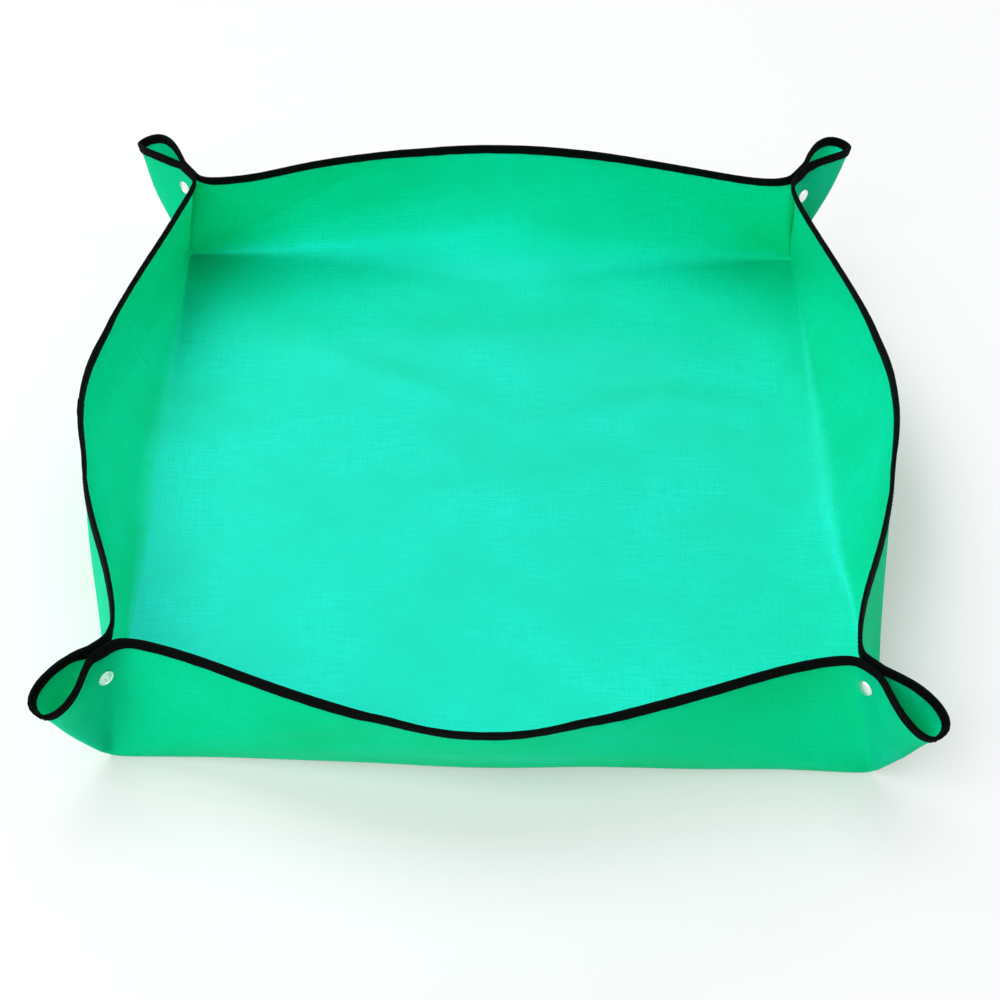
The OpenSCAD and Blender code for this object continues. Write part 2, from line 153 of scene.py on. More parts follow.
def listRays(corner):
    neckLean = math.radians(sheet["neckLean"])
    earLean = math.radians(corner["earLean"])
    neckAngle = math.asin(corner["neckWidth"] / 2 / wallWidth)
    middleRay = foldRay(np.array(middleAngle))
    middleRun = (math.cos(middleAngle - foldAngle) * wallUp
                 - math.sin(middleAngle - foldAngle) * foldDir)
    neckFrom = -neckLean - neckAngle
    neckTo = -neckLean + neckAngle
    wallBend = bendRays(middleRay, middleRun, neckRay(np.array(neckFrom)), neckRun(neckFrom),
                        corner["wallPull"], corner["neckPull"], sheet["bendSteps"])
    neckPart = neckRay(np.linspace(neckFrom, neckTo, sheet["neckSteps"] + 1)[1:])
    earBend = bendRays(neckRay(np.array(neckTo)), neckRun(neckTo), neckRay(np.array(earLean)), -across,
                       corner["earStart"], corner["earRound"], sheet["bendSteps"])
    rays = np.concatenate([wallBend, neckPart, earBend[1:]])
    steps = 2 * np.arcsin(np.linalg.norm(np.diff(rays, axis=0), axis=1) / 2)
    sums = np.concatenate([[0], np.cumsum(steps)])
    angles = middleAngle + sums * (math.radians(135) - middleAngle) / sums[-1]
    snapRay = sheet["bendSteps"] + sheet["neckSteps"] // 2
    return {"angles": angles, "rays": rays, "snapAngle": angles[snapRay]}


rayLists = {name: listRays(corner) for name, corner in corners.items()}


def plainRay(angle, name, foldSoft):
    table = rayLists[name]
    bent = unit(np.stack([np.interp(angle, table["angles"], table["rays"][:, i]) for i in range(3)], -1))
    return np.where((angle <= middleAngle)[..., None], foldRay(angle, foldSoft), bent)


# where the evened ray looks to either side, as a share of its reach, and the weight of each look
evenLooks = ((-0.9, 0.2), (-0.3, 0.3), (0.3, 0.3), (0.9, 0.2))


def clothRay(angle, name, foldSoft):
    # evened out over nearby rays, where the flat middle of the wall turns into its curved end
    fade = np.exp(-((angle - middleAngle) / math.radians(sheet["evenFade"])) ** 2)
    reach = math.radians(sheet["wallEven"]) * fade
    ray = 0
    for share, weight in evenLooks:
        ray = ray + weight * plainRay(angle + share * reach, name, foldSoft)
    return unit(ray)


def layerRoom(radius, angle):
    # half the distance between the two layers of a pinched corner
    opening = ease((radius - sheet["roomFrom"]) / (sheet["snapFlat"] - sheet["roomFrom"]))
    spread = creaseHalf + (neckHalf - creaseHalf) * opening
    closing = ease((radius - sheet["pinchFrom"]) / (sheet["pinchTo"] - sheet["pinchFrom"]))
    spread = spread - (neckHalf - sheet["pinchHalf"]) * closing
    riseFrom, riseOver = (math.radians(value) for value in sheet["roomRise"])
    fallFrom, fallOver = (math.radians(value) for value in sheet["roomFall"])
    return spread * ease((angle - riseFrom) / riseOver) * (1 - ease((angle - fallFrom) / fallOver))


def fromCorner(x, y, name, foldSoft):
    inX = halfBase - x
    outY = y - halfBase
    radius = np.hypot(inX, outY)
    angle = np.arctan2(outY, inX)
    corner = np.array([halfBase, halfBase, sheet["thick"] / 2])
    ray = clothRay(angle, name, foldSoft)
    return corner + radius[..., None] * ray + layerRoom(radius, angle)[..., None] * across


def wallHalf(x, y, name, side):
    # from one corner to the middle of the wall, where the next corner's half takes over
    nextName = next(other for other, sides in cornerSides.items() if side in sides and other != name)
    own = fromCorner(x, y, name, sheet["foldSoft"][side])
    other = fromCorner(-x, y, nextName, sheet["foldSoft"][side]) * np.array([-1, 1, 1])
    share = 0.5 + 0.5 * ease(np.abs(x) / sheet["midBlend"]) * np.sign(x)
    share = np.where(x >= sheet["midBlend"], 1, share)[..., None]
    return other + (own - other) * share


def quadrantCloth(x, y, name):
    out = np.zeros(np.shape(x) + (3,))
    upper = y >= x
    out[upper] = wallHalf(x[upper], y[upper], name, cornerSides[name][0])
    out[~upper] = wallHalf(y[~upper], x[~upper], name, cornerSides[name][1])[:, [1, 0, 2]]
    return out


# where the cloth lies off the even fold: flat places, how far the pull reaches, and the pull, in
# millimetres. The first 37 rows are that fit's results too, rounded to half a millimetre, of which the
# front right and front left base corners were changed; the 15 rows after them are listed one by one
layPulls = [
    ([(316, 316)], 26, (-3.5, 3.5, 3.5)),                     # back right ear tip
    ([(290, 334)], 22, (0, 1.5, 0.5)),                        # back right ear
    ([(334, 290)], 22, (-2.5, 0.5, 1.5)),                     # back right ear
    ([(254, 338), (338, 254)], 24, (-1.5, 1.5, 1.5)),         # back right neck
    ([(205, 338)], 30, (1, 0.5, -1)),                         # back right rim beside the neck
    ([(338, 205)], 30, (-0.5, -1, 1)),                        # back right rim beside the neck
    ([(245, 245)], 34, (-2, 2, 0)),                           # back right base corner
    ([(316, -316)], 26, (1.5, -3, -1.5)),                     # front right ear tip
    ([(334, -290)], 22, (-2, -0.5, 1.5)),                     # front right ear
    ([(290, -334)], 22, (-3, 0, -3.5)),                       # front right ear
    ([(338, -254), (254, -338)], 24, (1.5, -0.5, 0)),         # front right neck
    ([(338, -205)], 30, (0.5, 1, 5.5)),                       # front right rim beside the neck
    ([(205, -338)], 30, (-1, 2.5, -2.5)),                     # front right rim beside the neck
    ([(245, -245)], 34, (5.5, -10.5, 0)),                     # front right base corner
    ([(-316, -316)], 26, (3, 3, 1.5)),                        # front left ear tip
    ([(-290, -334)], 22, (3.5, -1, -4.5)),                    # front left ear
    ([(-334, -290)], 22, (3, -0.5, 1.5)),                     # front left ear
    ([(-254, -338), (-338, -254)], 24, (-3.5, 3, 3)),         # front left neck
    ([(-205, -338)], 30, (0.5, 3, -2)),                       # front left rim beside the neck
    ([(-338, -205)], 30, (-3, 0, 5)),                         # front left rim beside the neck
    ([(-245, -245)], 34, (-0.5, -5.5, 0)),                    # front left base corner
    ([(-316, 316)], 26, (3.5, 1.5, 0.5)),                     # back left ear tip
    ([(-334, 290)], 22, (1, -0.5, -0.5)),                     # back left ear
    ([(-290, 334)], 22, (1, 0, -0.5)),                        # back left ear
    ([(-338, 254), (-254, 338)], 24, (2, -1.5, -2.5)),        # back left neck
    ([(-205, 338)], 30, (0, -2.5, -3.5)),                     # back left rim beside the neck
    ([(-245, 245)], 34, (-2, -1, 0)),                         # back left base corner
    ([(335, 0)], 60, (-3, 1, 10.5)),                          # right middle of the rim
    ([(0, -335)], 60, (-0.5, -1, -1)),                        # front middle of the rim
    ([(-335, 0)], 60, (-1.5, 0, 4)),                          # left middle of the rim
    ([(120, 335)], 48, (0, -1, -1.5)),                        # back rim
    ([(335, -120)], 48, (4, -1, -8.5)),                       # right rim
    ([(-120, -335)], 48, (-0.5, -3.5, -0.5)),                 # front rim
    ([(-335, 120)], 48, (-4.5, 0, 0.5)),                      # left rim
    ([(-120, 335)], 48, (0, 1, 1)),                           # back rim
    ([(120, -335)], 48, (0, -2, -1)),                         # front rim
    ([(-335, -120)], 48, (-5.5, -0.5, -2.5)),                 # left rim
    ([(x, -249) for x in range(-186, 187, 62)], 34, (0, -3.2, 0)),  # front base fold
    ([(120, -249)], 40, (0, -2, 0)),                          # front base fold, right half
    ([(-249, -60), (-249, -140)], 36, (1.5, 0, 0)),           # left base fold, front half
    ([(249, -120), (249, -190)], 36, (6.5, 0, 0)),            # right base fold, front half
    ([(338, 0)], 52, (7, 0, 0)),                              # right middle of the rim
    ([(-338, 0)], 52, (-7, 0, 0)),                            # left middle of the rim
    ([(0, 338)], 52, (0, 2.5, 1)),                            # back middle of the rim
    ([(0, -338)], 52, (0, -6, -2)),                           # front middle of the rim
    ([(-300, -60)], 30, (3.5, 0, 0)),                         # left wall, front half
    ([(165, -249)], 34, (0, -2.5, 0)),                        # front base fold, near the right corner
    ([(282, -282)], 22, (1, -5.5, 0)),                        # front right ear crease
    ([(-282, -282)], 22, (-1, -0.5, 0)),                      # front left ear crease
    ([(308, 308)], 20, (4, 0, 0)),                            # back right ear crease
    ([(268, 268)], 18, (-2.5, 0, 0)),                         # back right ear crease, lower end
    ([(-290, 290)], 24, (-3.5, 0, 0)),                        # back left ear crease
]


def snapPlaces():
    # flat places of the snaps, two in each corner, which no pull moves
    places = []
    for turns, name in enumerate(corners):
        angle = rayLists[name]["snapAngle"]
        x = halfBase - sheet["snapUp"] * math.cos(angle)
        y = halfBase + sheet["snapUp"] * math.sin(angle)
        places += [quarterTurns(np.array([a, b, 0.0]), turns)[:2] for a, b in ((x, y), (y, x))]
    return np.array(places)


snapSpots = snapPlaces()


def layPull(flatX, flatY):
    place = np.stack([flatX, flatY], -1)
    fromSnap = np.min(np.linalg.norm(place[..., None, :] - snapSpots, axis=-1), axis=-1)
    pull = np.zeros(place.shape[:-1] + (3,))
    for spots, reach, move in layPulls:
        for spot in spots:
            share = np.exp(-((place - np.array(spot)) ** 2).sum(-1) / (2 * reach ** 2))
            pull += share[..., None] * np.array(move)
    return pull * ease((fromSnap - sheet["stillFrom"]) / sheet["stillFade"])[..., None]


def plainCloth(flatX, flatY):
    # the evenly folded sheet, from its flat place, for all four quarters
    local = [(flatX, flatY), (-flatY, flatX), (-flatX, -flatY), (flatY, -flatX)]
    quarter = np.where(flatX >= 0, np.where(flatY >= 0, 0, 1), np.where(flatY >= 0, 3, 2))
    out = np.zeros(np.shape(flatX) + (3,))
    for k, name in enumerate(corners):
        chosen = quarter == k
        if chosen.any():
            x, y = local[k]
            out[chosen] = quarterTurns(quadrantCloth(x[chosen], y[chosen], name), k)
    out += layPull(flatX, flatY)
    out[..., 2] = np.maximum(out[..., 2], sheet["thick"] / 2)
    return out


# looks round a place near the base corner: share of the reach, weight of the ring, and its looks
softRings = ((0.45, 0.36, 8), (0.9, 0.48, 12))
softRing = [(0.0, 0.0, 0.16)]
for ringShare, ringWeight, ringCount in softRings:
    for step in range(ringCount):
        turn = 2 * math.pi * (step + 0.5) / ringCount
        softRing.append((ringShare * math.cos(turn), ringShare * math.sin(turn), ringWeight / ringCount))


def clothAt(flatX, flatY):
    # rounds the cloth over each base corner, where the plain fold comes to a point
    flatX = np.asarray(flatX, float)
    flatY = np.asarray(flatY, float)
    out = plainCloth(flatX, flatY)
    radius = np.hypot(np.abs(flatX) - halfBase, np.abs(flatY) - halfBase)
    near = radius < sheet["apexReach"]
    if near.any():
        reach = sheet["apexSoft"] * (1 - ease(radius[near] / sheet["apexReach"]))
        softened = np.zeros((near.sum(), 3))
        for dx, dy, weight in softRing:
            softened += weight * plainCloth(flatX[near] + dx * reach, flatY[near] + dy * reach)
        lowered = ease(1 - radius[near] / sheet["apexReach"]) * sheet["apexDrop"]
        softened[:, 2] = np.maximum(softened[:, 2] - lowered, sheet["thick"] / 2)
        out[near] = softened
    return out + baseSwell(flatX, flatY)


# soft ridges in the base: from, to, half width and height, in millimetres
baseRidges = [
    ((-130, 145), (130, 140), 36, 2.8),
    ((-128, 126), (-70, 97), 16, 1.4),
    ((-70, 97), (-20, 79), 16, 1.0),
    ((36, 58), (133, 81), 14, 1.3),
    ((133, 81), (200, 75), 14, 1.3),
    ((-60, -12), (25, -22), 12, 0.8),
]


def ridgeLift(flatX, flatY):
    place = np.stack([flatX, flatY], -1)
    lift = np.zeros(np.shape(flatX))
    for start, stop, halfWidth, height in baseRidges:
        run = np.array(stop, float) - start
        share = np.clip(((place - start) @ run) / (run @ run), 0, 1)
        away = np.linalg.norm(place - start - share[..., None] * run, axis=-1)
        lift += height * np.exp(-(away / halfWidth) ** 2)
    return lift


swell = {
    "fullTo": 150.0,          # from the middle
    "fade": 90.0,
    "height": 0.28,
    "level": 1.2,             # a wave deeper than this lies on the floor
    # each wave: its length over two pi, in millimetres, its start, and how strongly and over what it bends
    "crosswise": (61, 0.0, 0.7, 83),
    "lengthwise": (73, 1.1, 0.6, 97),
    "slanting": (47, 2.0),
    "slantShare": 0.5,
}


def baseSwell(flatX, flatY):
    # the cloth doesn't lie quite flat: broad, shallow swells that never go below the floor
    insideX, insideY = (1 - ease((np.abs(flat) - swell["fullTo"]) / swell["fade"]) for flat in (flatX, flatY))
    inside = insideX * insideY
    length, start, bend, over = swell["crosswise"]
    wave = np.sin(flatX / length + start + bend * np.sin(flatY / over))
    length, start, bend, over = swell["lengthwise"]
    wave = wave + np.sin(flatY / length + start + bend * np.sin(flatX / over))
    length, start = swell["slanting"]
    wave = wave + swell["slantShare"] * np.sin((flatX + flatY) / length + start)
    lift = np.maximum(wave + swell["level"], 0) * swell["height"] * inside + ridgeLift(flatX, flatY) * inside
    return np.stack([np.zeros_like(lift), np.zeros_like(lift), lift], -1)


def clothNormal(flatX, flatY, step=0.4):
    # towards the inside of the tray
    alongX = clothAt(flatX + step, flatY) - clothAt(flatX - step, flatY)
    alongY = clothAt(flatX, flatY + step) - clothAt(flatX, flatY - step)
    return unit(np.cross(alongX, alongY))


def addPiece(name, points, faces, material, attributes=None):
    mesh = bpy.data.meshes.new(name)
    mesh.from_pydata((np.asarray(points) * mm).tolist(), [], faces)
    for key, values in (attributes or {}).items():
        layer = mesh.attributes.new(key, "FLOAT_VECTOR", "POINT")
        layer.data.foreach_set("vector", np.asarray(values, np.float32).ravel())
    mesh.polygons.foreach_set("use_smooth", [True] * len(mesh.polygons))
    mesh.materials.append(material)
    mesh.update()
    piece = bpy.data.objects.new(name, mesh)
    bpy.context.scene.collection.objects.link(piece)
    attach(piece, "root")
    return piece


def startMaterial(name):
    material = bpy.data.materials.new(name)
    material.use_nodes = True
    return material, material.node_tree.nodes["Principled BSDF"]


def addNode(material, kind, **values):
    node = material.node_tree.nodes.new(kind)
    for key, value in values.items():
        if key.startswith("in_"):
            node.inputs[key[3:].replace("_", " ")].default_value = value
        else:
            setattr(node, key, value)
    return node


def join(material, fromSocket, toSocket):
    material.node_tree.links.new(fromSocket, toSocket)


def mathNode(material, operation, first, second=None, third=None):
    node = addNode(material, "ShaderNodeMath", operation=operation)
    for socket, value in zip(node.inputs, (first, second, third)):
        if value is None:
            continue
        if isinstance(value, (int, float)):
            socket.default_value = value
        else:
            join(material, value, socket)
    return node.outputs[0]


def stretchedNoise(material, source, scale, detail=2.0, roughness=0.5):
    mapping = addNode(material, "ShaderNodeMapping")
    mapping.inputs["Scale"].default_value = scale
    join(material, source, mapping.inputs["Vector"])
    noise = addNode(material, "ShaderNodeTexNoise", noise_dimensions="3D", in_Scale=1.0,
                    in_Detail=detail, in_Roughness=roughness)
    join(material, mapping.outputs[0], noise.inputs["Vector"])
    return noise.outputs["Fac"]


def colorRamp(material, source, stops):
    ramp = addNode(material, "ShaderNodeValToRGB")
    points = ramp.color_ramp.elements
    points[0].position, points[0].color = stops[0]
    points[1].position, points[1].color = stops[-1]
    for position, color in stops[1:-1]:
        points.new(position).color = color
    join(material, source, ramp.inputs["Fac"])
    return ramp.outputs["Color"]


clothLook = {
    "deep": (0.0012, 0.66, 0.26, 1),  # between the threads
    "plain": (0.0015, 0.78, 0.35, 1),
    "pale": (0.0025, 0.86, 0.45, 1),  # raised threads
    "glareTint": (0.02, 0.62, 1.0, 1),
    "threadPitch": 1.7,       # mm
    "seeThrough": 0.6,        # share of the light that passes into the thin cloth
    "lightReach": (0.02, 1.0, 0.7),
    "lightDepth": 0.004,      # metres
    "streakShares": (1.2, 0.8, 1.0),   # of the noise along X and along Y, and what is taken off
    "patches": (4.5, -1.75, 0.15),     # gain, offset and least strength of the streaky patches
    "grain": 0.85,
    "weaveTone": 0.05,
    "streakGloss": -0.2,
    "bumpStrength": 0.35,
    "bumpDepth": 0.00028,
    "weaveHeight": 0.3,
}
# the coating lies on the inside, and the outside is bare weave
clothFaces = {
    "CoatedTealWeave": {"specular": 1.0, "ior": 1.7, "roughness": 0.47, "streaks": 0.9},
    "BareTealWeave": {"specular": 0.3, "ior": 1.28, "roughness": 0.7, "streaks": 0.3},
}


def clothMaterial(name):
    face = clothFaces[name]
    material, shader = startMaterial(name)
    flat = addNode(material, "ShaderNodeAttribute", attribute_name="flatPlace").outputs["Vector"]
    split = addNode(material, "ShaderNodeSeparateXYZ")
    join(material, flat, split.inputs[0])
    pitch = 2 * math.pi / clothLook["threadPitch"]
    wander = stretchedNoise(material, flat, (0.03, 0.03, 1), 2)
    weft = mathNode(material, "SINE", mathNode(material, "MULTIPLY_ADD", split.outputs["Y"], pitch, wander))
    warp = mathNode(material, "SINE", mathNode(material, "MULTIPLY_ADD", split.outputs["X"], pitch, wander))
    weave = mathNode(material, "MULTIPLY", weft, warp)
    # threads differ in tone, so faint short streaks run both ways, stronger in some patches
    alongX = stretchedNoise(material, flat, (0.045, 0.6, 1), 3, 0.6)
    alongY = stretchedNoise(material, flat, (0.6, 0.045, 1), 3, 0.6)
    cloudy = stretchedNoise(material, flat, (0.011, 0.014, 1), 3)
    speckle = stretchedNoise(material, flat, (0.8, 0.8, 1), 2, 0.6)
    shareX, shareY, takenOff = clothLook["streakShares"]
    gain, offset, least = clothLook["patches"]
    streak = mathNode(material, "MULTIPLY_ADD", alongX, shareX,
                      mathNode(material, "MULTIPLY", alongY, shareY))
    streak = mathNode(material, "SUBTRACT", streak, takenOff)
    patchy = mathNode(material, "MAXIMUM", mathNode(material, "MULTIPLY_ADD", cloudy, gain, offset), least)
    streak = mathNode(material, "MULTIPLY", streak, patchy)
    grain = mathNode(material, "MULTIPLY_ADD", mathNode(material, "SUBTRACT", speckle, 0.5),
                     clothLook["grain"], mathNode(material, "MULTIPLY", weave, clothLook["weaveTone"]))
    tone = mathNode(material, "MULTIPLY_ADD", streak, face["streaks"], grain)
    tone = mathNode(material, "ADD", tone, cloudy)
    color = colorRamp(material, tone, [(0.2, clothLook["deep"]), (0.5, clothLook["plain"]),
                                       (0.8, clothLook["pale"])])
    join(material, color, shader.inputs["Base Color"])
    rough = mathNode(material, "MULTIPLY_ADD", streak, clothLook["streakGloss"], face["roughness"])
    join(material, rough, shader.inputs["Roughness"])
    shader.inputs["Specular IOR Level"].default_value = face["specular"]
    shader.inputs["Specular Tint"].default_value = clothLook["glareTint"]
    shader.inputs["IOR"].default_value = face["ior"]
    shader.inputs["Subsurface Weight"].default_value = clothLook["seeThrough"]
    shader.inputs["Subsurface Radius"].default_value = clothLook["lightReach"]
    shader.inputs["Subsurface Scale"].default_value = clothLook["lightDepth"]
    bump = addNode(material, "ShaderNodeBump", in_Strength=clothLook["bumpStrength"],
                   in_Distance=clothLook["bumpDepth"])
    height = mathNode(material, "MULTIPLY_ADD", weave, clothLook["weaveHeight"], streak)
    height = mathNode(material, "ADD", height, speckle)
    join(material, height, bump.inputs["Height"])
    join(material, bump.outputs[0], shader.inputs["Normal"])
    return material


tapeLook = {
    "deep": (0.0005, 0.001, 0.0008, 1),
    "pale": (0.003, 0.005, 0.004, 1),
    "ribPitch": 0.9,          # mm, along the tape
    "cordRatio": 1.3,         # ribs to cords across it
    "weaveTone": 0.16,
    "roughness": 0.8,
    "specular": 0.04,
    "bump": (0.5, 0.00012),   # strength and depth in metres
}


def tapeMaterial():
    material, shader = startMaterial("BlackWovenTape")
    place = addNode(material, "ShaderNodeAttribute", attribute_name="tapePlace").outputs["Vector"]
    split = addNode(material, "ShaderNodeSeparateXYZ")
    join(material, place, split.inputs[0])
    pitch = 2 * math.pi / tapeLook["ribPitch"]
    ribs = mathNode(material, "SINE", mathNode(material, "MULTIPLY", split.outputs["X"], pitch))
    cords = mathNode(material, "SINE", mathNode(material, "MULTIPLY", split.outputs["Y"],
                                               pitch * tapeLook["cordRatio"]))
    weave = mathNode(material, "MULTIPLY", ribs, cords)
    wear = stretchedNoise(material, place, (0.4, 1.2, 1), 3)
    tone = mathNode(material, "MULTIPLY_ADD", weave, tapeLook["weaveTone"], wear)
    color = colorRamp(material, tone, [(0.3, tapeLook["deep"]), (0.8, tapeLook["pale"])])
    join(material, color, shader.inputs["Base Color"])
    shader.inputs["Roughness"].default_value = tapeLook["roughness"]
    shader.inputs["Specular IOR Level"].default_value = tapeLook["specular"]
    strength, depth = tapeLook["bump"]
    bump = addNode(material, "ShaderNodeBump", in_Strength=strength, in_Distance=depth)
    join(material, weave, bump.inputs["Height"])
    join(material, bump.outputs[0], shader.inputs["Normal"])
    return material


threadLook = {
    "deep": (0.001, 0.0015, 0.001, 1),
    "pale": (0.006, 0.008, 0.006, 1),
    "roughness": 0.75,
    "specular": 0.1,
}


def threadMaterial():
    material, shader = startMaterial("BlackSewingThread")
    place = addNode(material, "ShaderNodeAttribute", attribute_name="tapePlace").outputs["Vector"]
    twist = stretchedNoise(material, place, (6.0, 6.0, 1), 2)
    color = colorRamp(material, twist, [(0.3, threadLook["deep"]), (0.75, threadLook["pale"])])
    join(material, color, shader.inputs["Base Color"])
    shader.inputs["Roughness"].default_value = threadLook["roughness"]
    shader.inputs["Specular IOR Level"].default_value = threadLook["specular"]
    return material


nickelLook = {
    "dull": (0.86, 0.88, 0.87, 1),
    "bright": (0.96, 0.97, 0.96, 1),
    "roughness": (0.2, 0.2),  # gain over the smear, and least
    "bump": (0.08, 0.0001),   # strength and depth in metres
}


def nickelMaterial():
    material, shader = startMaterial("PolishedNickelPlate")
    place = addNode(material, "ShaderNodeTexCoord").outputs["Object"]
    smear = stretchedNoise(material, place, (260, 260, 260), 3)
    color = colorRamp(material, smear, [(0.3, nickelLook["dull"]), (0.7, nickelLook["bright"])])
    join(material, color, shader.inputs["Base Color"])
    rough = mathNode(material, "MULTIPLY_ADD", smear, *nickelLook["roughness"])
    join(material, rough, shader.inputs["Roughness"])
    shader.inputs["Metallic"].default_value = 1.0
    strength, depth = nickelLook["bump"]
    bump = addNode(material, "ShaderNodeBump", in_Strength=strength, in_Distance=depth)
    join(material, stretchedNoise(material, place, (900, 900, 900), 2), bump.inputs["Height"])
    join(material, bump.outputs[0], shader.inputs["Normal"])
    return material


wireLook = {
    "dull": (0.38, 0.4, 0.41, 1),
    "bright": (0.62, 0.64, 0.65, 1),
    "roughness": (0.2, 0.2),  # gain over the drawn streaks, and least
}


def wireMaterial():
    material, shader = startMaterial("DrawnSpringWire")
    place = addNode(material, "ShaderNodeTexCoord").outputs["Object"]
    drawn = stretchedNoise(material, place, (300, 300, 2500), 2)
    color = colorRamp(material, drawn, [(0.3, wireLook["dull"]), (0.7, wireLook["bright"])])
    join(material, color, shader.inputs["Base Color"])
    rough = mathNode(material, "MULTIPLY_ADD", drawn, *wireLook["roughness"])
    join(material, rough, shader.inputs["Roughness"])
    shader.inputs["Metallic"].default_value = 1.0
    return material


clothGrid = {
    "middleStep": 6.0,        # along the middle line of a side, in the base
    "foldStep": 3.2,          # across the soft fold
    "foldMargin": 8.0,        # beyond the widest soft fold
    "edgeStep": 5.0,
    "cornerSteps": 18,
    "rows": 38,
    "rowGrade": 1.25,
}


def spread(start, stop, step):
    count = max(1, round(abs(stop - start) / step))
    return list(np.linspace(start, stop, count + 1))[:-1]


def fanEnds():
    # where the rays of half a quarter end: down the middle line, along the edge, round the corner
    foldHalf = max(sheet["foldSoft"].values()) + clothGrid["foldMargin"]
    foldMid = halfBase + sheet["wallBow"]
    along = (spread(0, foldMid - foldHalf, clothGrid["middleStep"])
             + spread(foldMid - foldHalf, foldMid + foldHalf, clothGrid["foldStep"])
             + spread(foldMid + foldHalf, halfSide, clothGrid["edgeStep"]))
    ends = [(0.0, y) for y in along]
    ends += [(x, halfSide) for x in spread(0, arcMiddle, clothGrid["edgeStep"])]
    for step in range(clothGrid["cornerSteps"] + 1):
        turn = math.radians(90 - 45 * step / clothGrid["cornerSteps"])
        radius = sheet["cornerRadius"]
        ends.append((arcMiddle + radius * math.cos(turn), arcMiddle + radius * math.sin(turn)))
    return np.array(ends)


def buildCloth(coated, bare):
    ends = fanEnds()
    rows = (np.arange(clothGrid["rows"] + 1) / clothGrid["rows"]) ** clothGrid["rowGrade"]
    corner = np.array([halfBase, halfBase])
    fan = corner + (ends - corner)[:, None, :] * rows[None, :, None]
    count, depth = fan.shape[:2]
    index = np.arange(count * depth).reshape(count, depth)
    quads = np.stack([index[:-1, :-1], index[:-1, 1:], index[1:, 1:], index[1:, :-1]], -1).reshape(-1, 4)
    places, faces = [], []
    for quarter in range(4):
        for mirrored in (False, True):
            part = fan.reshape(-1, 2)
            part = part[:, ::-1] if mirrored else part
            part = np.concatenate([part, np.zeros((len(part), 1))], 1)
            part = quarterTurns(part, quarter)[:, :2]
            own = quads[:, ::-1] if mirrored else quads
            faces.append(own + sum(len(p) for p in places))
            places.append(part)
    places = np.concatenate(places)
    faces = np.concatenate(faces)
    keys, first, back = np.unique(np.round(places, 3), axis=0, return_index=True, return_inverse=True)
    places = places[first]
    faces = back.reshape(-1)[faces]
    middle = clothAt(places[:, 0], places[:, 1])
    normal = clothNormal(places[:, 0], places[:, 1])
    inner = middle + normal * sheet["thick"] / 2
    outer = middle - normal * sheet["thick"] / 2
    total = len(places)
    flip = np.cross(places[faces[:, 1]] - places[faces[:, 0]], places[faces[:, 2]] - places[faces[:, 0]])
    faces = np.where((flip < 0)[:, None], faces[:, ::-1], faces)
    polygons, bareFace = [], []
    edgeUse = {}
    for face in faces.tolist():
        loop = [v for i, v in enumerate(face) if v != face[i - 1]]
        if len(loop) < 3:
            continue
        polygons.append(loop)
        polygons.append([v + total for v in reversed(loop)])
        bareFace += [0, 1]
        for i, v in enumerate(loop):
            edgeUse[(loop[i - 1], v)] = edgeUse.get((loop[i - 1], v), 0) + 1
    for (a, b) in list(edgeUse):
        if (b, a) not in edgeUse:
            polygons.append([b, a, a + total, b + total])
            bareFace.append(0)
    flatPlace = np.concatenate([places, np.zeros((total, 1))], 1)
    piece = addPiece("traySheet", np.concatenate([inner, outer]), polygons, coated,
                     {"flatPlace": np.concatenate([flatPlace, flatPlace])})
    piece.data.materials.append(bare)
    piece.data.polygons.foreach_set("material_index", bareFace)
    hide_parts("cloth_sheet")
    print("cloth:", len(polygons), "faces")
    return piece


tape = {
    "width": 6.2,
    "thick": 0.8,
    "fit": 0.2,               # between the tape and the cloth
    "step": 3.6,              # between stations
    "spliceAt": -17.0,        # from the middle of the left side
    "overlap": 16.0,          # where the two ends lie on each other
    "climb": 3.0,
    "pressed": 0.6,           # share of the thickness left there
    "spliceGap": 0.05,        # between the two ends
    "ripple": 0.07,
    "edgeWave": 0.16,         # how far the sewn edge wanders
    "waveFrom": 3.5,          # inset beyond which it does
    "threadRadius": 0.24,
    "stitchPitch": 3.2,
    "stitchLength": 2.5,
    "stitchInset": 1.7,       # from the tape's inner edge
}
straight = 2 * arcMiddle
arcLength = math.pi / 2 * sheet["cornerRadius"]
edgeLength = 4 * (straight + arcLength)


def edgeAt(run):
    # flat place of the edge and the direction into the sheet, from the splice, clockwise from above
    run = np.asarray(run, float) + straight / 2 + tape["spliceAt"]
    side = np.floor(run / (straight + arcLength)).astype(int)
    rest = run - side * (straight + arcLength)
    turn = np.clip((rest - straight) / sheet["cornerRadius"], 0, math.pi / 2)
    onLine = np.clip(rest, 0, straight)
    x = -halfSide + sheet["cornerRadius"] * (1 - np.cos(turn))
    y = -arcMiddle + onLine + sheet["cornerRadius"] * np.sin(turn)
    inX, inY = np.cos(turn), -np.sin(turn)
    place = np.stack([x, y, np.zeros_like(x)], -1)
    into = np.stack([inX, inY, np.zeros_like(x)], -1)
    for k in range(4):
        turned = (side % 4) == k
        place[turned] = quarterTurns(place[turned], k)
        into[turned] = quarterTurns(into[turned], k)
    return place, into


def tapePoint(run, inset, height):
    # a place on or beside the edge: inset into the sheet, height off its mid surface, towards the inside
    place, into = edgeAt(run)
    inset = np.asarray(inset, float)
    inside = np.maximum(inset, 0)
    x = place[..., 0] + into[..., 0] * inside
    y = place[..., 1] + into[..., 1] * inside
    point = clothAt(x, y)
    normal = clothNormal(x, y)
    step = 0.5
    inward = unit(clothAt(x + into[..., 0] * step, y + into[..., 1] * step) - point)
    return point + normal * np.asarray(height)[..., None] + inward * np.minimum(inset, 0)[..., None]


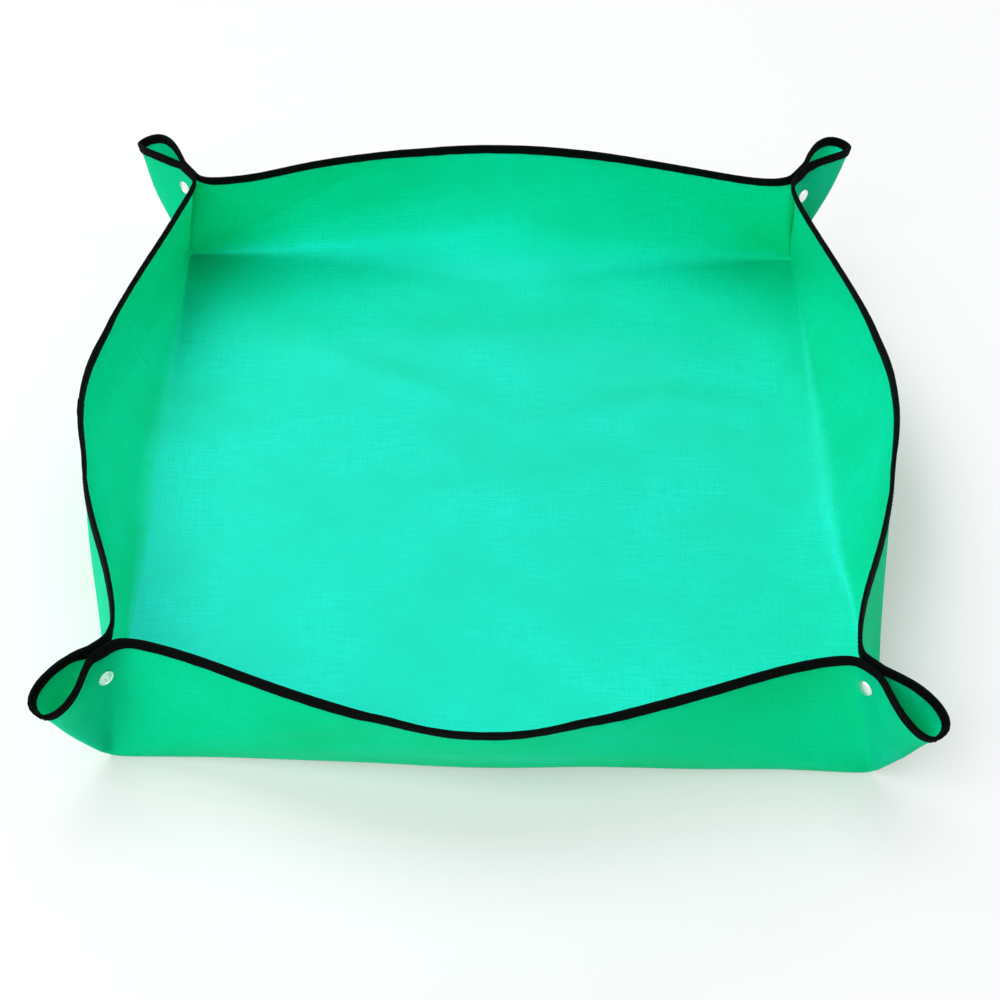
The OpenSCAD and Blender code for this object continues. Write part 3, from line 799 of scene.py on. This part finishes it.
def tapeSection():
    inner = sheet["thick"] / 2 + tape["fit"]
    outer = inner + tape["thick"]
    wrap = tape["fit"] + tape["thick"]
    width = tape["width"]
    face = [(width, inner + 0.18), (width - 0.05, outer - 0.2), (width - 0.3, outer - 0.02),
            (width - 1.1, outer), (width * 0.55, outer + 0.02), (width * 0.28, outer), (0.35, outer - 0.02)]
    roll = [(-wrap * math.sin(math.radians(a)), outer * math.cos(math.radians(a))) for a in (25, 50, 75, 90)]
    inside = [(-tape["fit"], 0), (0.1, -inner), (width * 0.5, -inner), (width - 0.15, -inner)]
    half = face + roll
    other = [(i, -h) for i, h in reversed(half[:-1])]
    back = [(i, -h) for i, h in reversed(inside[1:])]
    return half + other + [(i, h) for i, h in reversed(inside[1:])] + [inside[0]] + [
        (i, -h) for i, h in inside[1:]]


def buildTape(material):
    section = np.array(tapeSection())
    stations = int(round(edgeLength / tape["step"]))
    half = tape["overlap"] / 2
    runs = np.linspace(0, edgeLength, stations + 1)
    runs = runs[(runs > half) & (runs < edgeLength - half - tape["climb"])]
    lead = np.linspace(-half, half, 9)
    tail = np.concatenate([edgeLength - half - tape["climb"] + np.linspace(0, tape["climb"], 5),
                           edgeLength + np.linspace(-half, half, 9)[1:]])
    runs = np.concatenate([lead, runs, tail])
    # both ends are pressed thinner where one lies on the other
    onTop = ease((runs - (edgeLength - half - tape["climb"])) / tape["climb"])
    under = ease((half + tape["climb"] - runs) / tape["climb"])
    share = 1 - (1 - tape["pressed"]) * np.maximum(onTop, under)
    raised = (tape["thick"] * tape["pressed"] + tape["spliceGap"]) * onTop
    inset = np.repeat(section[None, :, 0], len(runs), 0)
    height = np.repeat(section[None, :, 1], len(runs), 0)
    sign = np.sign(height)
    clothFace = sheet["thick"] / 2 + tape["fit"]
    over = np.maximum(np.abs(height) - clothFace, 0)
    height = sign * (np.minimum(np.abs(height), clothFace) + over * share[:, None] + raised[:, None])
    inset = np.where(inset < 0, inset * share[:, None] - raised[:, None], inset)
    ripple = np.sin(runs * 0.53) * np.sin(runs * 0.171 + 1.3) + 0.5 * np.sin(runs * 1.37)
    outerFace = np.abs(section[:, 1]) > sheet["thick"] / 2 + tape["fit"] + 0.1
    height = height + sign * outerFace * (ripple * tape["ripple"])[:, None]
    edgeWave = tape["edgeWave"] * np.sin(runs * 0.31) * np.sin(runs * 0.093 + 0.4)
    inset = inset + np.where(inset > tape["waveFrom"], edgeWave[:, None], 0)
    runGrid = np.repeat(runs[:, None], section.shape[0], 1)
    points = tapePoint(runGrid % edgeLength, inset, height)
    count = section.shape[0]
    index = np.arange(points.shape[0] * count).reshape(-1, count)
    after = np.roll(index, -1, axis=1)
    faces = np.stack([index[:-1], after[:-1], after[1:], index[1:]], -1).reshape(-1, 4).tolist()
    faces.append(index[0][::-1].tolist())
    faces.append(index[-1].tolist())
    lengthRound = np.concatenate([[0], np.cumsum(np.linalg.norm(np.diff(section, axis=0), axis=1))])
    place = np.stack([runGrid, np.repeat(lengthRound[None, :], len(runs), 0), np.zeros_like(runGrid)], -1)
    piece = addPiece("edgeTape", points.reshape(-1, 3), faces, material, {"tapePlace": place.reshape(-1, 3)})
    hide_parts("edge_binding")
    print("tape:", len(faces), "faces")
    return piece


def buildStitches(material):
    outer = sheet["thick"] / 2 + tape["fit"] + tape["thick"]
    inset = tape["width"] - tape["stitchInset"]
    count = int(edgeLength / tape["stitchPitch"])
    middles = (np.arange(count) + 0.5) * edgeLength / count
    along = np.array([-1.0, -0.7, -0.25, 0.25, 0.7, 1.0])
    thick = np.array([0.35, 0.85, 1.0, 1.0, 0.85, 0.35]) * tape["threadRadius"]
    rise = np.array([-0.22, -0.02, 0.08, 0.08, -0.02, -0.22])
    sides = 6
    points, faces, places = [], [], []
    for sign in (1, -1):
        runs = middles[:, None] + along[None, :] * tape["stitchLength"] / 2
        spliced = np.minimum(runs, edgeLength - runs) < tape["overlap"] / 2
        raised = (tape["thick"] * (2 * tape["pressed"] - 1) + tape["spliceGap"]) * spliced
        for side in range(sides):
            turn = 2 * math.pi * side / sides
            insets = inset + thick * math.cos(turn) + 0 * runs
            heights = sign * (outer + raised + rise + thick * math.sin(turn))
            points.append(tapePoint(runs, insets, heights))
            places.append(np.stack([runs, insets, np.full_like(runs, side)], -1))
    points = np.stack(points).reshape(2, sides, count, len(along), 3)
    places = np.stack(places).reshape(2, sides, count, len(along), 3)
    index = np.arange(points[..., 0].size).reshape(2, sides, count, len(along))
    for layer in range(2):
        for side in range(sides):
            a, b = index[layer, side], index[layer, (side + 1) % sides]
            quads = np.stack([a[:, :-1], a[:, 1:], b[:, 1:], b[:, :-1]], -1).reshape(-1, 4)
            faces += (quads if layer == 0 else quads[:, ::-1]).tolist()
        for end in (0, -1):
            caps = index[layer, :, :, end].T
            caps = caps if (end == 0) == (layer == 0) else caps[:, ::-1]
            faces += caps.tolist()
    piece = addPiece("tapeStitches", points.reshape(-1, 3), faces, material,
                     {"tapePlace": places.reshape(-1, 3)})
    print("stitches:", 2 * count)
    return piece


def dressSnaps():
    nickel, wire = nickelMaterial(), wireMaterial()
    for name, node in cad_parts.items():
        part = name.split("_")[0]
        if part in ("cap", "socket", "stud", "eyelet", "spring"):
            material = wire if part == "spring" else nickel
            if not node.material_slots:
                node.data.materials.append(material)
            for slot in node.material_slots:
                slot.material = material
    print("snaps dressed")


stageLook = {
    "floorSize": 12.0,
    "floorDrop": 0.0002,      # below the tray
    "floorColor": (0.92, 0.97, 0.965, 1),
    "floorShade": 0.985,      # of that colour, in the mottles
    "floorRoughness": 0.6,
    "floorSpecular": 0.1,
    "floorGlow": (0.36, 0.78),      # share of plain white that only the camera and mirrors see; painted light, low near the tray so that its shadow there is deepened by painted shade, and high further out, which paints the floor whiter
    "floorGlowFrom": (0.26, 0.34),  # between these distances, measured in the stretched place below
    "glowShift": (0, 0.045, 0),
    "glowStretch": (0.85, 0.75, 1),
    "worldStrength": 0.06,
    # name: place in metres, width and depth, radiance; the radiances are set close to a least-squares
    # fit of the tray's colours to the photo
    "softBoxes": {
        "softBoxFront": ((-1.09, -1.09, 1.84), (1.6, 1.6), 4.2),
        "softBoxBehind": ((0.00, 0.94, 2.21), (1.6, 1.6), 2.5),
        "softBoxBehindLeft": ((-0.99, 1.18, 1.84), (1.6, 1.6), 2.1),
        "softBoxRight": ((1.54, 0.00, 1.84), (1.6, 1.6), 0.8),
    },
}


def addSoftBox(name, place, size, radiance):
    lamp = bpy.data.lights.new(name, "AREA")
    lamp.shape = "RECTANGLE"
    lamp.size, lamp.size_y = size
    lamp.energy = radiance * math.pi * size[0] * size[1]
    holder = bpy.data.objects.new(name, lamp)
    bpy.context.scene.collection.objects.link(holder)
    back = unit(np.array(place))
    side = unit(np.cross([0, 1, 0], back))
    turn = Matrix((side, np.cross(back, side), back)).transposed().to_4x4()
    turn.translation = place
    holder.matrix_world = turn
    holder.visible_camera = False


def floorMaterial():
    material, shader = startMaterial("PaleStudioFloor")
    place = addNode(material, "ShaderNodeTexCoord").outputs["Object"]
    mottle = stretchedNoise(material, place, (1.2, 1.2, 1.2), 2)
    pale = stageLook["floorColor"]
    shade = tuple(c * stageLook["floorShade"] for c in pale[:3]) + (1,)
    color = colorRamp(material, mottle, [(0.3, shade), (0.7, pale)])
    join(material, color, shader.inputs["Base Color"])
    shader.inputs["Roughness"].default_value = stageLook["floorRoughness"]
    shader.inputs["Specular IOR Level"].default_value = stageLook["floorSpecular"]
    white = addNode(material, "ShaderNodeEmission", in_Strength=1.0)
    path = addNode(material, "ShaderNodeLightPath")
    seen = mathNode(material, "MAXIMUM", path.outputs["Is Camera Ray"], path.outputs["Is Glossy Ray"])
    seen = mathNode(material, "MAXIMUM", seen, path.outputs["Is Transmission Ray"])
    # painted light: the floor's white glow grows with the distance from the tray, so the floor is painted
    # darker near the tray, where its shadow falls, and whiter further out
    nearTray = addNode(material, "ShaderNodeMapping")
    nearTray.inputs["Location"].default_value = stageLook["glowShift"]
    nearTray.inputs["Scale"].default_value = stageLook["glowStretch"]
    join(material, place, nearTray.inputs["Vector"])
    away = addNode(material, "ShaderNodeVectorMath", operation="LENGTH")
    join(material, nearTray.outputs[0], away.inputs[0])
    glow = addNode(material, "ShaderNodeMapRange", interpolation_type="SMOOTHSTEP")
    glow.inputs["From Min"].default_value, glow.inputs["From Max"].default_value = stageLook["floorGlowFrom"]
    glow.inputs["To Min"].default_value, glow.inputs["To Max"].default_value = stageLook["floorGlow"]
    join(material, away.outputs["Value"], glow.inputs["Value"])
    blend = addNode(material, "ShaderNodeMixShader")
    join(material, mathNode(material, "MULTIPLY", seen, glow.outputs[0]), blend.inputs["Fac"])
    join(material, shader.outputs[0], blend.inputs[1])
    join(material, white.outputs[0], blend.inputs[2])
    join(material, blend.outputs[0], material.node_tree.nodes["Material Output"].inputs["Surface"])
    return material


def buildStage():
    size = stageLook["floorSize"] / 2
    mesh = bpy.data.meshes.new("studioFloor")
    outline = [(-size, -size, 0), (size, -size, 0), (size, size, 0), (-size, size, 0)]
    mesh.from_pydata(outline, [], [(0, 1, 2, 3)])
    mesh.materials.append(floorMaterial())
    floor = bpy.data.objects.new("studioFloor", mesh)
    floor.location = (0, 0, -stageLook["floorDrop"])
    bpy.context.scene.collection.objects.link(floor)

    world = bpy.data.worlds.new("softWhiteStudio")
    bpy.context.scene.world = world
    world.use_nodes = True
    nodes, links = world.node_tree.nodes, world.node_tree.links
    background = nodes["Background"]
    background.inputs["Color"].default_value = (1, 1, 1, 1)
    path = nodes.new("ShaderNodeLightPath")
    level = nodes.new("ShaderNodeMapRange")
    level.inputs["To Min"].default_value = stageLook["worldStrength"]
    level.inputs["To Max"].default_value = 1.0
    seen = path.outputs["Is Camera Ray"]
    for ray in ("Is Glossy Ray", "Is Transmission Ray"):
        larger = nodes.new("ShaderNodeMath")
        larger.operation = "MAXIMUM"
        links.new(seen, larger.inputs[0])
        links.new(path.outputs[ray], larger.inputs[1])
        seen = larger.outputs[0]
    links.new(seen, level.inputs["Value"])
    links.new(level.outputs[0], background.inputs["Strength"])
    for name, (place, size, radiance) in stageLook["softBoxes"].items():
        addSoftBox(name, place, size, radiance)
    print("stage ready")


# the results of a least-squares fit of the tray's rim, base corners and snaps to the photo
cameraLook = {
    "lens": 74.39,            # mm
    "sensor": 36.0,
    "clip": (0.05, 50.0),     # metres
    "elevation": 47.93,       # degrees
    "azimuth": 0.13,
    "roll": 0.88,
    "distance": 1508.06,      # mm, from the point looked at
    "aim": (7.82, -21.4, 0.0),
}


def addCamera():
    rise = math.radians(cameraLook["elevation"])
    turn = math.radians(cameraLook["azimuth"])
    roll = math.radians(cameraLook["roll"])
    forward = np.array([math.sin(turn) * math.cos(rise), math.cos(turn) * math.cos(rise), -math.sin(rise)])
    right = np.array([math.cos(turn), -math.sin(turn), 0.0])
    top = np.cross(right, forward)
    rolledRight = math.cos(roll) * right + math.sin(roll) * top
    rolledTop = -math.sin(roll) * right + math.cos(roll) * top
    data = bpy.data.cameras.new("photoView")
    data.lens = cameraLook["lens"]
    data.sensor_width = cameraLook["sensor"]
    data.clip_start, data.clip_end = cameraLook["clip"]
    camera = bpy.data.objects.new("photoView", data)
    bpy.context.scene.collection.objects.link(camera)
    matrix = Matrix((rolledRight, rolledTop, -forward)).transposed().to_4x4()
    matrix.translation = (np.array(cameraLook["aim"]) - forward * cameraLook["distance"]) * mm
    camera.matrix_world = matrix
    bpy.context.scene.camera = camera
    bpy.context.scene.view_settings.view_transform = "Standard"


traySheet = buildCloth(*(clothMaterial(name) for name in clothFaces))
edgeTape = buildTape(tapeMaterial())
tapeStitches = buildStitches(threadMaterial())
dressSnaps()
buildStage()
addCamera()
